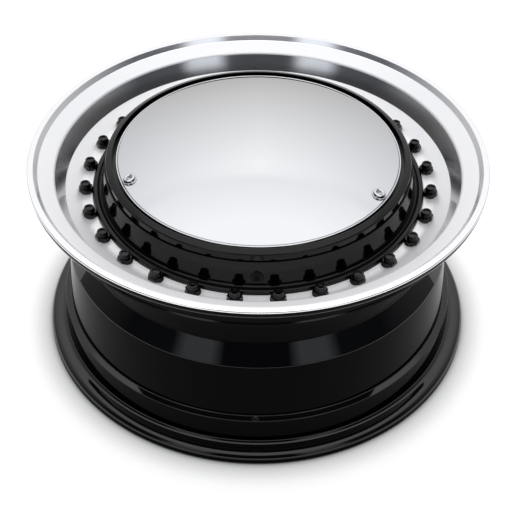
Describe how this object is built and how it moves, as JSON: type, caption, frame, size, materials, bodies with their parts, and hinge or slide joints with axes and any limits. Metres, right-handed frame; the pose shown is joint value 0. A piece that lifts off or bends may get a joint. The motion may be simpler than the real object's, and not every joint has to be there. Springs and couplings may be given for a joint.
{
  "type": "car wheel rim",
  "caption": "Two-piece car wheel rim with a dished bright lip, ring of studs, black raised centre and chrome dome cover; takes a tyre and bolts to a hub.",
  "frame": {"origin": "middle of the rear flange, on the surface that the wheel rests on", "axes": "+Z along the wheel's axis towards the dished face; -Y towards the valve hole"},
  "size_m": [0.4715, 0.4716, 0.2305],
  "materials": {
    "turned_aluminium": "bright turned lip, gloss black barrel",
    "black_paint": "gloss black",
    "black_studs": "gloss black",
    "chrome": "mirror",
    "screw_steel": "bright"
  },
  "bodies": {
    "root": {"rim": "turned_aluminium", "centre_disc": "black_paint", "shelf_studs": "black_studs", "dome_cover": "chrome", "cover_screws": "screw_steel"}
  },
  "joints": []
}
